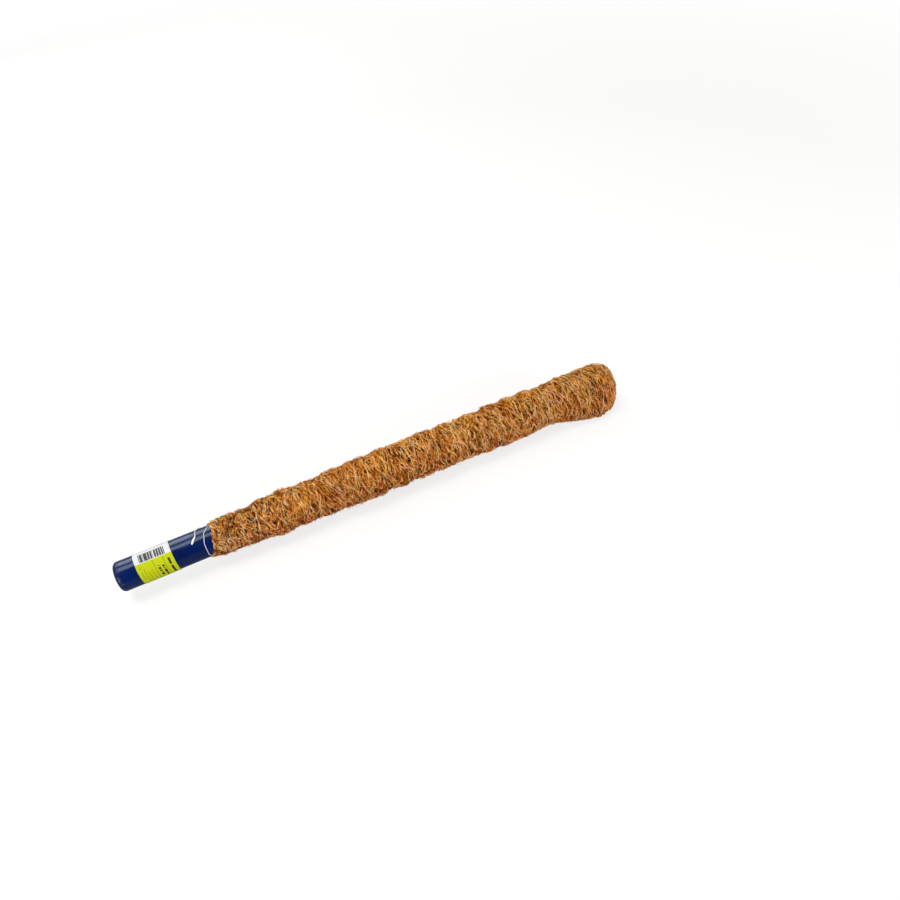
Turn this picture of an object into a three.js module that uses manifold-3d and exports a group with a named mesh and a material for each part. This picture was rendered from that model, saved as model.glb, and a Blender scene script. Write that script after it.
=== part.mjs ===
// Moss pole: a plastic pipe wrapped in coir fibre that one thread binds on.
// Millimetres, +Z up. The pole lies along X on z = 0, bare stub at -X, coir end at +X.

import * as THREE from 'three';
import { mergeVertices } from 'three/addons/utils/BufferGeometryUtils.js';
import Module from 'manifold-3d';

const wasm = await Module();
wasm.setup();

// Overall
const poleLength = 600;
const stubLength = 98;
const seatGap = 0.3;

// Pipe and the plug pushed into its bare end
const pipeRadius = 16;
const pipeWall = 3.5;
const pipeSides = 48;
const plugFlange = 6;
const plugEdgeRadius = 4.5;
const plugSpigotLength = 18;
const plugSpigotWall = 2.5;
const plugLeadIn = 1.5;

// Label round the stub: white strip above a yellow panel, on one sheet
const labelOffset = 21.4;
const labelWidth = 36;
const labelHeight = 60;
const labelThickness = 0.3;
const labelGap = 0.2;
const labelMiddleTurn = 0.15;
const labelSteps = 20;

// Coir sleeve: thickness over the pipe at distances from its lower edge
const coirLip = 1.5;
const coirShoulder = 4.1;
const coirSwell = 7.7;
const coirWaist = 6;
const coirBody = 9.5;
const lipRun = 12;
const shoulderAt = 34;
const swellAt = 76;
const waistAt = 102;
const bodyAt = 180;
const flareHeight = 13;
const flareRun = 95;
const endRounding = 20;
const mouthWall = 1.2;
const flatDepth = 0.5;

// Wad that fills the sleeve's mouth over the pipe's top
const wadThickness = 14;
const wadCrown = 2;

// Binding thread: its free end and a turn on the bare pipe, then turns at the coir's edge,
// up the body and below the flare
const threadDiameter = 1;
const threadSides = 6;
const threadSteps = 24;
const firstTurn = 4 / threadSteps;
const tailTurns = 0.25;
const tailPitch = 50;
const pipeTurns = 1;
const pipePitch = 10;
const edgeTurns = 2;
const edgePitch = 4;
const bodyPitch = 28;
const neckTurns = 2.5;
const neckPitch = 5;
const grooveDepth = 2.3;
const ringsPerPitch = 4;
const sleeveSides = threadSteps;

// Places along X that the sizes above lead to
const poleStart = -poleLength / 2;
const poleEnd = poleLength / 2;
const pipeStart = poleStart + plugFlange;
const sleeveStart = poleStart + stubLength;
const sleeveBore = pipeRadius + seatGap;
const mouthRadius = sleeveBore + mouthWall;
const pipeEnd = poleEnd - wadThickness;
const pipeBore = pipeRadius - pipeWall;
const axisHeight = pipeRadius + coirBody - flatDepth;
const threadRadius = threadDiameter / 2;

// The thread's course along X, turn by turn: a steady pitch inside each stretch
const edgeStart = sleeveStart + edgePitch;
const tailStart = edgeStart - pipeTurns * pipePitch - tailTurns * tailPitch;
const bodyStart = edgeStart + edgeTurns * edgePitch;
const neckEnd = poleEnd - flareRun;
const neckStart = neckEnd - neckTurns * neckPitch;
const bodyTurns = (neckStart - bodyStart) / bodyPitch;
const threadStretches = [
  { turns: tailTurns, pitch: tailPitch },
  { turns: pipeTurns, pitch: pipePitch },
  { turns: edgeTurns, pitch: edgePitch },
  { turns: bodyTurns, pitch: bodyPitch },
  { turns: neckTurns, pitch: neckPitch },
];
const turnsBeforeBody = tailTurns + pipeTurns + edgeTurns;
const threadTurns = turnsBeforeBody + bodyTurns + neckTurns;

function threadX(turn) {
  let x = tailStart;
  let left = turn;
  for (const stretch of threadStretches) {
    const turns = Math.min(left, stretch.turns);
    x += turns * stretch.pitch;
    left -= turns;
  }
  return x;
}

// Closed surface through rings of equal point counts, capped at its ends or joined into a loop
function loftRings(rings, joined) {
  const count = rings[0].length;
  const points = rings.flat();
  const faces = [];
  const spans = joined ? rings.length : rings.length - 1;
  for (let i = 0; i < spans; i += 1) {
    const here = i * count;
    const next = ((i + 1) % rings.length) * count;
    for (let j = 0; j < count; j += 1) {
      const k = (j + 1) % count;
      faces.push(here + j, next + k, here + k, here + j, next + j, next + k);
    }
  }
  if (!joined) {
    const last = (rings.length - 1) * count;
    for (let j = 1; j < count - 1; j += 1) {
      faces.push(0, j, j + 1, last, last + j + 1, last + j);
    }
  }
  const geometry = new THREE.BufferGeometry();
  geometry.setFromPoints(points);
  geometry.setIndex(faces);
  geometry.computeVertexNormals();
  return geometry;
}

function toSolid(geometry) {
  const bare = geometry.clone();
  bare.deleteAttribute('normal');
  bare.deleteAttribute('uv');
  const merged = mergeVertices(bare);
  const vertProperties = new Float32Array(merged.attributes.position.array);
  const triVerts = new Uint32Array(merged.index.array);
  return new wasm.Manifold(new wasm.Mesh({ numProp: 3, vertProperties, triVerts }));
}

function toGeometry(solid) {
  const mesh = solid.getMesh();
  const geometry = new THREE.BufferGeometry();
  geometry.setAttribute('position', new THREE.BufferAttribute(mesh.vertProperties, 3));
  geometry.setIndex(new THREE.BufferAttribute(mesh.triVerts, 1));
  geometry.computeVertexNormals();
  return geometry;
}

// Turned shape about X from a profile of [distance along X, radius]
function turned(profile, sides) {
  const points = profile.map(([x, radius]) => new THREE.Vector2(radius, x));
  return new THREE.LatheGeometry(points, sides).rotateZ(-Math.PI / 2);
}

// Point at a turn about X, where turn 0 faces -Y and a quarter turn faces +Z
function aroundAxis(x, radius, turn) {
  const angle = turn * 2 * Math.PI;
  return new THREE.Vector3(x, -radius * Math.cos(angle), radius * Math.sin(angle));
}

function addPiece(group, name, geometry, look) {
  const mesh = new THREE.Mesh(geometry, new THREE.MeshStandardMaterial(look));
  mesh.name = name;
  group.add(mesh);
}

function corePipe() {
  const profile = [
    [pipeStart, pipeBore],
    [pipeStart, pipeRadius],
    [pipeEnd, pipeRadius],
    [pipeEnd, pipeBore],
    [pipeStart, pipeBore],
  ];
  return turned(profile, pipeSides);
}

function endPlug() {
  const edgeSteps = 5;
  const spigotRadius = pipeBore - seatGap;
  const spigotBore = spigotRadius - plugSpigotWall;
  const flangeBack = pipeStart - seatGap;
  const spigotEnd = pipeStart + plugSpigotLength;
  const profile = [[poleStart, 0]];
  for (let i = 0; i <= edgeSteps; i += 1) {
    const angle = (i / edgeSteps) * (Math.PI / 2);
    const x = poleStart + plugEdgeRadius * (1 - Math.cos(angle));
    profile.push([x, pipeRadius - plugEdgeRadius * (1 - Math.sin(angle))]);
  }
  profile.push(
    [flangeBack, pipeRadius],
    [flangeBack, spigotRadius],
    [spigotEnd - plugLeadIn, spigotRadius],
    [spigotEnd, spigotRadius - plugLeadIn],
    [spigotEnd, spigotBore],
    [flangeBack, spigotBore],
    [flangeBack, 0],
  );
  return turned(profile, pipeSides);
}

function pipeLabel() {
  const inner = pipeRadius + labelGap;
  const outer = inner + labelThickness;
  const left = poleStart + labelOffset;
  const right = left + labelWidth;
  const halfWrap = labelHeight / (2 * 2 * Math.PI * outer);
  const rings = [];
  for (let i = 0; i <= labelSteps; i += 1) {
    const turn = labelMiddleTurn + halfWrap * ((2 * i) / labelSteps - 1);
    rings.push([
      aroundAxis(left, inner, turn),
      aroundAxis(right, inner, turn),
      aroundAxis(right, outer, turn),
      aroundAxis(left, outer, turn),
    ]);
  }
  return loftRings(rings, false);
}

// Thickness of coir over the pipe at a distance from the sleeve's lower edge, before its grooves
function coirThickness(along) {
  const stations = [
    [0, coirLip],
    [lipRun, coirLip + (coirShoulder - coirLip) / 2],
    [shoulderAt, coirShoulder],
    [swellAt, coirSwell],
    [waistAt, coirWaist],
    [bodyAt, coirBody],
  ];
  const after = stations.findIndex(([at]) => at > along);
  if (after === -1) {
    return coirBody;
  }
  const [at, thickness] = stations[after - 1];
  const [nextAt, nextThickness] = stations[after];
  const share = THREE.MathUtils.smoothstep(along, at, nextAt);
  return THREE.MathUtils.lerp(thickness, nextThickness, share);
}

// Splayed fibre past the last turns of thread, spread to both sides on what the pole lies on
function coirFlare(x, turn) {
  const rise = THREE.MathUtils.smoothstep(x, neckEnd, poleEnd - endRounding);
  const downward = -Math.sin(turn * 2 * Math.PI);
  return flareHeight * rise * THREE.MathUtils.smoothstep(downward, -0.3, 0.6);
}

// How far the thread draws the sleeve in: a helical groove on the body, a band at the neck
function coirGroove(x, turn) {
  const onBody = THREE.MathUtils.smoothstep(x, bodyStart, bodyStart + bodyPitch);
  const woundTurns = firstTurn + turnsBeforeBody + (x - bodyStart) / bodyPitch;
  const wave = (1 + Math.cos((woundTurns - turn) * 2 * Math.PI)) / 2;
  const band = 1 - THREE.MathUtils.smoothstep(x, neckEnd, neckEnd + bodyPitch);
  return grooveDepth * onBody * (x < neckStart ? wave : band);
}

function coirRadius(x, turn) {
  const thickness = coirThickness(x - sleeveStart);
  const full = pipeRadius + thickness + coirFlare(x, turn) - coirGroove(x, turn);
  const roundedBy = THREE.MathUtils.clamp((x - poleEnd) / endRounding + 1, 0, 1);
  return THREE.MathUtils.lerp(mouthRadius, full, Math.sqrt(1 - roundedBy ** 2));
}

// Ring places along X: close at the lip, a share of the pitch on the body, close round the end
function sleeveStations() {
  const lipSteps = 3;
  const endSteps = 5;
  const flareSteps = 6;
  const places = [];
  for (let i = 0; i < lipSteps; i += 1) {
    places.push(sleeveStart + ((bodyStart - sleeveStart) * i) / lipSteps);
  }
  const bodySteps = Math.ceil(bodyTurns * ringsPerPitch);
  for (let i = 0; i < bodySteps; i += 1) {
    places.push(bodyStart + ((neckStart - bodyStart) * i) / bodySteps);
  }
  places.push(neckStart);
  for (let i = 0; i < flareSteps; i += 1) {
    places.push(THREE.MathUtils.lerp(neckEnd, poleEnd - endRounding, i / flareSteps));
  }
  for (let i = 0; i <= endSteps; i += 1) {
    places.push(poleEnd - endRounding * (1 - Math.sin(((i / endSteps) * Math.PI) / 2)));
  }
  return places;
}

function sleeveRing(x, radiusAt) {
  const ring = [];
  for (let j = 0; j < sleeveSides; j += 1) {
    const turn = j / sleeveSides;
    ring.push(aroundAxis(x, radiusAt(x, turn), turn));
  }
  return ring;
}

function coirSleeve() {
  const rings = sleeveStations().map((x) => sleeveRing(x, coirRadius));
  rings.push(sleeveRing(poleEnd, () => sleeveBore));
  rings.push(sleeveRing(sleeveStart, () => sleeveBore));
  const whole = toSolid(loftRings(rings, true));
  const floorDepth = pipeRadius + coirBody + flareHeight;
  const floor = new THREE.BoxGeometry(2 * poleLength, 4 * floorDepth, floorDepth);
  floor.translate(0, 0, -axisHeight - floorDepth / 2);
  return toGeometry(whole.subtract(toSolid(floor)));
}

function coirEndWad() {
  const crownSteps = 4;
  const wadStart = pipeEnd + seatGap;
  const profile = [[wadStart, 0], [wadStart, pipeRadius]];
  for (let i = 0; i <= crownSteps; i += 1) {
    const share = i / crownSteps;
    profile.push([poleEnd - wadCrown * (1 - share ** 2), pipeRadius * (1 - share)]);
  }
  return turned(profile, sleeveSides);
}

// Height of the bare pipe or of the sleeve's facets, which run straight from ring to ring
function surfaceRadius(x, turn, stations) {
  if (x < sleeveStart) {
    return pipeRadius;
  }
  const after = stations.findIndex((station) => station > x);
  const [from, to] = [stations[after - 1], stations[after]];
  const share = (x - from) / (to - from);
  return THREE.MathUtils.lerp(coirRadius(from, turn), coirRadius(to, turn), share);
}

// Height that the thread lies at: clear of the highest surface within its reach
function seatRadius(x, turn, stations) {
  const reach = threadRadius + seatGap;
  const places = [x - reach, x, x + reach];
  return Math.max(...places.map((place) => surfaceRadius(place, turn, stations))) + seatGap;
}

function threadCourse() {
  const steps = Math.round(threadTurns * threadSteps);
  const stations = sleeveStations();
  const course = [];
  for (let i = 0; i <= steps; i += 1) {
    const turn = firstTurn + i / threadSteps;
    const x = threadX(i / threadSteps);
    course.push(aroundAxis(x, seatRadius(x, turn, stations) + threadRadius, turn));
  }
  const first = course[0].clone().sub(course[1]).setLength(threadDiameter);
  const last = course.at(-1).clone().sub(course.at(-2)).setLength(threadDiameter);
  return [first.add(course[0]), ...course, last.add(course.at(-1))];
}

function bindingThread() {
  const course = threadCourse();
  const rings = course.map((centre, i) => {
    const before = course[Math.max(0, i - 1)];
    const after = course[Math.min(course.length - 1, i + 1)];
    const along = after.clone().sub(before).normalize();
    const outward = new THREE.Vector3(0, centre.y, centre.z).projectOnPlane(along).normalize();
    const across = outward.clone().cross(along);
    const ring = [];
    for (let j = 0; j < threadSides; j += 1) {
      const angle = (j / threadSides) * 2 * Math.PI;
      const point = centre.clone();
      point.addScaledVector(outward, threadRadius * Math.cos(angle));
      ring.push(point.addScaledVector(across, threadRadius * Math.sin(angle)));
    }
    return ring;
  });
  console.log(`binding_thread: least gap to itself ${leastSelfGap(course).toFixed(2)} mm`);
  return loftRings(rings, false);
}

// Least clear distance between points of the thread that are at least half a turn apart
function leastSelfGap(course) {
  const apart = threadSteps / 2;
  let least = Infinity;
  course.forEach((point, i) => {
    for (let j = i + apart; j < course.length; j += 1) {
      least = Math.min(least, point.distanceTo(course[j]));
    }
  });
  return least - threadDiameter;
}

const mossPole = new THREE.Group();
mossPole.name = 'moss_pole';
mossPole.position.z = axisHeight;
addPiece(mossPole, 'core_pipe', corePipe(), { color: 0x17275c, roughness: 0.25, metalness: 0 });
addPiece(mossPole, 'end_plug', endPlug(), { color: 0x16224c, roughness: 0.35, metalness: 0 });
addPiece(mossPole, 'pipe_label', pipeLabel(), { color: 0xd8dc1e, roughness: 0.45, metalness: 0 });
addPiece(mossPole, 'coir_sleeve', coirSleeve(), { color: 0xa9713a, roughness: 0.95, metalness: 0 });
addPiece(mossPole, 'coir_end_wad', coirEndWad(), { color: 0x9c6534, roughness: 0.95, metalness: 0 });
addPiece(mossPole, 'binding_thread', bindingThread(), { color: 0xd9d3c4, roughness: 0.4, metalness: 0 });

export default mossPole;
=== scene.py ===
# Moss pole: a glossy plastic pipe wrapped in coir fibre that one nylon thread binds on
import math
import random
import bmesh
import bpy
import numpy as np
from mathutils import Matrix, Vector, noise


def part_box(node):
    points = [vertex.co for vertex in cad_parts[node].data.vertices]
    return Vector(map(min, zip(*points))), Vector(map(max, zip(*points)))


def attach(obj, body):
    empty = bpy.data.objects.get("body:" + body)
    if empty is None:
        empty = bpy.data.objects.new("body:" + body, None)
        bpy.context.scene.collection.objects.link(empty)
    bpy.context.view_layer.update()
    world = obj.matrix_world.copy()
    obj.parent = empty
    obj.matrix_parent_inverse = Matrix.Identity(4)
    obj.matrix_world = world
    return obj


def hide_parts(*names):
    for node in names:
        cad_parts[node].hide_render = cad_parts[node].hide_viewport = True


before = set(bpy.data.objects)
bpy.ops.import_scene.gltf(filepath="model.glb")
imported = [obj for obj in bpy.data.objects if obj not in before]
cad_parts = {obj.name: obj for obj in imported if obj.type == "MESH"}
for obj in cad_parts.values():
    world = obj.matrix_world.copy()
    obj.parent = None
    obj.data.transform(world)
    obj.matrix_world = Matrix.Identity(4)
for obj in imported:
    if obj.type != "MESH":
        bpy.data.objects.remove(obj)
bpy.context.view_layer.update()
mm = 0.001
dice = random.Random(41)
scene = bpy.context.scene
scene.view_settings.view_transform = "Standard"

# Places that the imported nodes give
pipeLow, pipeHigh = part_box("core_pipe")
plugLow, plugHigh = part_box("end_plug")
labelLow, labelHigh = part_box("pipe_label")
coirLow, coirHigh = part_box("coir_sleeve")
wadLow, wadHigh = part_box("coir_end_wad")
axisHeight = (pipeLow.z + pipeHigh.z) / 2
pipeRadius = (pipeHigh.y - pipeLow.y) / 2
poleStart = plugLow.x
poleEnd = coirHigh.x
print("frame loaded, pole from", round(poleStart, 3), "to", round(poleEnd, 3))


def linear(hexColour):  # sRGB hex to the linear colour that a shader takes
    channels = [int(hexColour[i:i + 2], 16) / 255 for i in (1, 3, 5)]
    return [c / 12.92 if c < 0.04045 else ((c + 0.055) / 1.055) ** 2.4 for c in channels] + [1]


def addNode(tree, kind, settings={}, inputs={}):  # a node, its settings, and values or links for its sockets
    node = tree.nodes.new(kind)
    for name, value in settings.items():
        if name == "stops":
            (firstPlace, firstColour), *middle, (lastPlace, lastColour) = value
            ramp = node.color_ramp.elements
            ramp[0].position, ramp[0].color = firstPlace, linear(firstColour)
            ramp[1].position, ramp[1].color = lastPlace, linear(lastColour)
            for place, colour in middle:
                ramp.new(place).color = linear(colour)
        else:
            setattr(node, name, value)
    for name, value in inputs.items():
        if isinstance(value, bpy.types.NodeSocket):
            tree.links.new(value, node.inputs[name])
        else:
            node.inputs[name].default_value = value
    return node


def newMaterial(name):
    material = bpy.data.materials.new(name)
    material.use_nodes = True
    return material, material.node_tree, material.node_tree.nodes["Principled BSDF"]


def placePiece(name, bm, sharpAngle=35):
    mesh = bpy.data.meshes.new(name)
    bm.to_mesh(mesh)
    bm.free()
    mesh.shade_smooth()
    mesh.set_sharp_from_angle(angle=math.radians(sharpAngle))
    piece = bpy.data.objects.new(name, mesh)
    scene.collection.objects.link(piece)
    return piece


def dressPiece(piece, material, node):
    piece.data.materials.clear()
    piece.data.materials.append(material)
    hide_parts(node)
    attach(piece, "root")


def turnedPiece(name, profile, sides):  # a profile of (x, radius) spun about the pole's axis
    bm = bmesh.new()
    corners = [bm.verts.new((x, -radius, 0)) for x, radius in profile]
    for here, following in zip(corners, corners[1:]):
        bm.edges.new((here, following))
    bmesh.ops.spin(bm, geom=bm.verts[:] + bm.edges[:], cent=(0, 0, 0), axis=(1, 0, 0),
                   angle=2 * math.pi, steps=sides, use_merge=True)
    bmesh.ops.remove_doubles(bm, verts=bm.verts, dist=1e-6)
    bmesh.ops.recalc_face_normals(bm, faces=bm.faces)
    bmesh.ops.translate(bm, verts=bm.verts, vec=(0, 0, axisHeight))
    return placePiece(name, bm)


def strandMesh(name, strands, roundness=0, capped=False):  # a tube along each strand of (points, radii, ...)
    curve = bpy.data.curves.new(name, "CURVE")
    curve.dimensions = "3D"
    curve.bevel_depth = 1
    curve.bevel_resolution = roundness
    curve.use_fill_caps = capped
    for strand in strands:
        points, radii = strand[:2]
        spline = curve.splines.new("POLY")
        spline.points.add(len(points) - 1)
        spline.points.foreach_set("co", [value for point in points for value in (*point, 1)])
        spline.points.foreach_set("radius", radii)
    rod = bpy.data.objects.new(name + "Curve", curve)
    scene.collection.objects.link(rod)
    bpy.context.view_layer.update()
    mesh = bpy.data.meshes.new_from_object(rod.evaluated_get(bpy.context.evaluated_depsgraph_get()))
    bpy.data.objects.remove(rod)
    bpy.data.curves.remove(curve)
    mesh.name = name
    mesh.shade_smooth()
    return mesh


def onPole(x, radius, turn):  # turn 0 faces -Y, a quarter turn faces up
    angle = turn * 2 * math.pi
    return Vector((x, -radius * math.cos(angle), axisHeight + radius * math.sin(angle)))


def smooth(value, low, high):
    share = min(1, max(0, (value - low) / (high - low)))
    return share * share * (3 - 2 * share)


# Camera at the photograph's angle
cameraView = {"place": (-0.1395, -0.4777, 0.5777), "tilt": 42.83, "lean": 2.672, "turn": -27.238, "lens": 26}
cameraData = bpy.data.cameras.new("camera")
cameraData.lens = cameraView["lens"]
camera = bpy.data.objects.new("camera", cameraData)
camera.location = cameraView["place"]
camera.rotation_euler = [math.radians(cameraView[angle]) for angle in ("tilt", "lean", "turn")]
scene.collection.objects.link(camera)
scene.camera = camera

# Pale floor, a world that is bright behind and dim in front, softboxes above and behind that give the
# pipe its bands, and a lamp at each side
studio = {
    "floorColour": "#93928F", "floorSize": 6, "floorDrop": 0.2 * mm,
    "floorGlow": 0.72, "mirrorGlow": 0.1, "whiteFrom": 1.2, "whiteTo": 3.5,
    "airFront": "#606163", "airMiddle": "#949596", "airBack": "#D2D3D3",
    "softboxes": [
        {"name": "topBox", "place": (-0.4, 0.2, 1.5), "size": (0.6, 1.06), "power": 11.4},
        {"name": "backPanel", "place": (-0.45, 1.51, 1.0), "size": (0.7, 1.1), "power": 12},
        {"name": "leftLamp", "place": (-1.6, -1.4, 0.6), "size": (0.35, 0.35), "power": 23.8},
        {"name": "rightLamp", "place": (1.6, -1.4, 0.6), "size": (0.35, 0.35), "power": 23},
    ],
}
for box in studio["softboxes"]:
    boxData = bpy.data.lights.new(box["name"], "AREA")
    boxData.shape = "RECTANGLE"
    boxData.size, boxData.size_y = box["size"]
    boxData.energy = box["power"]
    light = bpy.data.objects.new(box["name"], boxData)
    light.location = box["place"]
    light.rotation_euler = (Vector((0, 0, 0)) - light.location).to_track_quat("-Z", "Y").to_euler()
    scene.collection.objects.link(light)

world = bpy.data.worlds.new("studioAir")
scene.world = world
world.use_nodes = True
airTree = world.node_tree
airWay = addNode(airTree, "ShaderNodeTexCoord")
airParts = addNode(airTree, "ShaderNodeSeparateXYZ", {}, {"Vector": airWay.outputs["Generated"]})
airShare = addNode(airTree, "ShaderNodeMapRange", {},
                   {"Value": airParts.outputs["Y"], "From Min": -1, "From Max": 1})
airFade = addNode(airTree, "ShaderNodeValToRGB",
                  {"stops": [(0.1, studio["airFront"]), (0.5, studio["airMiddle"]), (0.85, studio["airBack"])]},
                  {"Fac": airShare.outputs[0]})
airRays = addNode(airTree, "ShaderNodeLightPath")
toEye = addNode(airTree, "ShaderNodeMath", {"operation": "MAXIMUM"},
                {0: airRays.outputs["Is Camera Ray"], 1: airRays.outputs["Is Transmission Ray"]})
backdrop = addNode(airTree, "ShaderNodeMix", {"data_type": "RGBA"},  # white behind the floor in low views
                   {0: toEye.outputs[0], 6: airFade.outputs["Color"], 7: (1, 1, 1, 1)})
airTree.links.new(backdrop.outputs[2], airTree.nodes["Background"].inputs["Color"])

bm = bmesh.new()
bmesh.ops.create_grid(bm, x_segments=1, y_segments=1, size=studio["floorSize"])
bmesh.ops.translate(bm, verts=bm.verts, vec=(0, 0, -studio["floorDrop"]))
floor = placePiece("studioFloor", bm)
floorMaterial, tree, shader = newMaterial("Matt painted board")  # glows a little to the eye, so it reads white
shader.inputs["Roughness"].default_value = 0.9
shader.inputs["Specular IOR Level"].default_value = 0.1
shader.inputs["Base Color"].default_value = linear(studio["floorColour"])
rays = addNode(tree, "ShaderNodeLightPath")
mirrored = addNode(tree, "ShaderNodeMath", {"operation": "MULTIPLY"},
                   {0: rays.outputs["Is Glossy Ray"], 1: studio["mirrorGlow"]})
seen = addNode(tree, "ShaderNodeMath", {"operation": "MAXIMUM"},
               {0: rays.outputs["Is Camera Ray"], 1: mirrored.outputs[0]})
seen = addNode(tree, "ShaderNodeMath", {"operation": "MAXIMUM"},
               {0: seen.outputs[0], 1: rays.outputs["Is Transmission Ray"]})
where = addNode(tree, "ShaderNodeTexCoord").outputs["Object"]
away = addNode(tree, "ShaderNodeVectorMath", {"operation": "LENGTH"}, {0: where})
reach = addNode(tree, "ShaderNodeMapRange", {}, {  # white to the horizon
    "Value": away.outputs["Value"], "From Min": studio["whiteFrom"], "From Max": studio["whiteTo"],
    "To Min": studio["floorGlow"], "To Max": 1})
glow = addNode(tree, "ShaderNodeMath", {"operation": "MULTIPLY"}, {0: seen.outputs[0], 1: reach.outputs[0]})
shader.inputs["Emission Color"].default_value = (1, 1, 1, 1)
tree.links.new(glow.outputs[0], shader.inputs["Emission Strength"])
floor.data.materials.append(floorMaterial)
print("camera, lights and floor set")

# Pipe and end plug
pipeMake = {
    "wall": 3.5 * mm, "edge": 0.2 * mm, "sides": 128,
    "navy": "#001B5A", "navyDeep": "#001346", "scuffed": "#182E60", "shine": (0.84, 1, 0.98, 1),
    "mottle": 18 * mm, "drawLine": 1.2 * mm, "lineStretch": (0.02, 1, 1), "scuff": 3 * mm,
    "scuffStretch": (0.25, 1, 1), "wave": 11 * mm, "waveStretch": (0.5, 1, 1),
}
bore = pipeRadius - pipeMake["wall"]
edge = pipeMake["edge"]
pipe = turnedPiece("extrudedPipe", [
    (pipeLow.x, bore), (pipeLow.x, pipeRadius - edge), (pipeLow.x + edge, pipeRadius),
    (pipeHigh.x - edge, pipeRadius), (pipeHigh.x, pipeRadius - edge), (pipeHigh.x, bore), (pipeLow.x, bore),
], pipeMake["sides"])

pvc, tree, shader = newMaterial("Extruded navy PVC")  # deep glossy colour, faint lines along the draw
where = addNode(tree, "ShaderNodeTexCoord").outputs["Object"]
mottle = addNode(tree, "ShaderNodeTexNoise", {}, {"Vector": where, "Scale": 1 / pipeMake["mottle"], "Detail": 3})
navy = addNode(tree, "ShaderNodeValToRGB", {"stops": [(0.35, pipeMake["navyDeep"]), (0.65, pipeMake["navy"])]},
               {"Fac": mottle.outputs["Fac"]})
longWay = addNode(tree, "ShaderNodeMapping", {}, {"Vector": where, "Scale": pipeMake["lineStretch"]})
drawLines = addNode(tree, "ShaderNodeTexNoise", {},
                    {"Vector": longWay.outputs[0], "Scale": 1 / pipeMake["drawLine"], "Detail": 2})
rubWay = addNode(tree, "ShaderNodeMapping", {}, {"Vector": where, "Scale": pipeMake["scuffStretch"]})
rubs = addNode(tree, "ShaderNodeTexNoise", {},
               {"Vector": rubWay.outputs[0], "Scale": 1 / pipeMake["scuff"], "Detail": 6, "Roughness": 0.7})
rubbed = addNode(tree, "ShaderNodeMapRange", {},
                 {"Value": rubs.outputs["Fac"], "From Min": 0.62, "From Max": 0.78})
colour = addNode(tree, "ShaderNodeMix", {"data_type": "RGBA"},
                 {0: rubbed.outputs[0], 6: navy.outputs["Color"], 7: linear(pipeMake["scuffed"])})
tree.links.new(colour.outputs[2], shader.inputs["Base Color"])
gloss = addNode(tree, "ShaderNodeMapRange", {},
                {"Value": rubs.outputs["Fac"], "From Min": 0.3, "From Max": 0.75, "To Min": 0.1, "To Max": 0.28})
tree.links.new(gloss.outputs[0], shader.inputs["Roughness"])
lines = addNode(tree, "ShaderNodeBump", {},
                {"Height": drawLines.outputs["Fac"], "Strength": 0.12, "Distance": 0.1 * mm})
waveWay = addNode(tree, "ShaderNodeMapping", {}, {"Vector": where, "Scale": pipeMake["waveStretch"]})
waves = addNode(tree, "ShaderNodeTexNoise", {},
                {"Vector": waveWay.outputs[0], "Scale": 1 / pipeMake["wave"], "Detail": 2})
uneven = addNode(tree, "ShaderNodeBump", {}, {"Height": waves.outputs["Fac"], "Strength": 0.6,
                                              "Distance": 0.5 * mm, "Normal": lines.outputs[0]})
tree.links.new(uneven.outputs[0], shader.inputs["Normal"])
shader.inputs["IOR"].default_value = 1.53
shader.inputs["Specular IOR Level"].default_value = 0.27
shader.inputs["Specular Tint"].default_value = pipeMake["shine"]
dressPiece(pipe, pvc, "core_pipe")

plugMake = {
    "flange": 5.95 * mm, "rounding": 4.5 * mm, "steps": 8, "spigotWall": 2.5 * mm, "clearance": 0.3 * mm,
    "leadIn": 1.5 * mm, "sides": 128,
    "navy": "#00154A", "navyWorn": "#5A6788", "grain": 0.8 * mm, "wear": 4 * mm,
}
plugBack = poleStart + plugMake["flange"]
spigot = bore - plugMake["clearance"]
plugProfile = [(poleStart, 0)]
for i in range(plugMake["steps"] + 1):
    angle = i / plugMake["steps"] * math.pi / 2
    plugProfile.append((poleStart + plugMake["rounding"] * (1 - math.cos(angle)),
                        pipeRadius - plugMake["rounding"] * (1 - math.sin(angle))))
plugProfile += [
    (plugBack, pipeRadius), (plugBack, spigot), (plugHigh.x - plugMake["leadIn"], spigot),
    (plugHigh.x, spigot - plugMake["leadIn"]), (plugHigh.x, spigot - plugMake["spigotWall"]),
    (plugBack, spigot - plugMake["spigotWall"]), (plugBack, 0),
]
plug = turnedPiece("mouldedPlug", plugProfile, plugMake["sides"])

polyethylene, tree, shader = newMaterial("Moulded navy polyethylene")  # satin skin, scuffed pale in places
where = addNode(tree, "ShaderNodeTexCoord").outputs["Object"]
grain = addNode(tree, "ShaderNodeTexNoise", {}, {"Vector": where, "Scale": 1 / plugMake["grain"], "Detail": 3})
wear = addNode(tree, "ShaderNodeTexNoise", {},
               {"Vector": where, "Scale": 1 / plugMake["wear"], "Detail": 7, "Roughness": 0.75})
worn = addNode(tree, "ShaderNodeMapRange", {},
               {"Value": wear.outputs["Fac"], "From Min": 0.56, "From Max": 0.72})
colour = addNode(tree, "ShaderNodeMix", {"data_type": "RGBA"},
                 {0: worn.outputs[0], 6: linear(plugMake["navy"]), 7: linear(plugMake["navyWorn"])})
tree.links.new(colour.outputs[2], shader.inputs["Base Color"])
gloss = addNode(tree, "ShaderNodeMapRange", {}, {"Value": wear.outputs["Fac"], "To Min": 0.2, "To Max": 0.5})
tree.links.new(gloss.outputs[0], shader.inputs["Roughness"])
skin = addNode(tree, "ShaderNodeBump", {},
               {"Height": grain.outputs["Fac"], "Strength": 0.15, "Distance": 0.1 * mm})
tree.links.new(skin.outputs[0], shader.inputs["Normal"])
shader.inputs["IOR"].default_value = 1.5
shader.inputs["Specular IOR Level"].default_value = 0.27
dressPiece(plug, polyethylene, "end_plug")
print("pipe and plug made")

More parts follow.
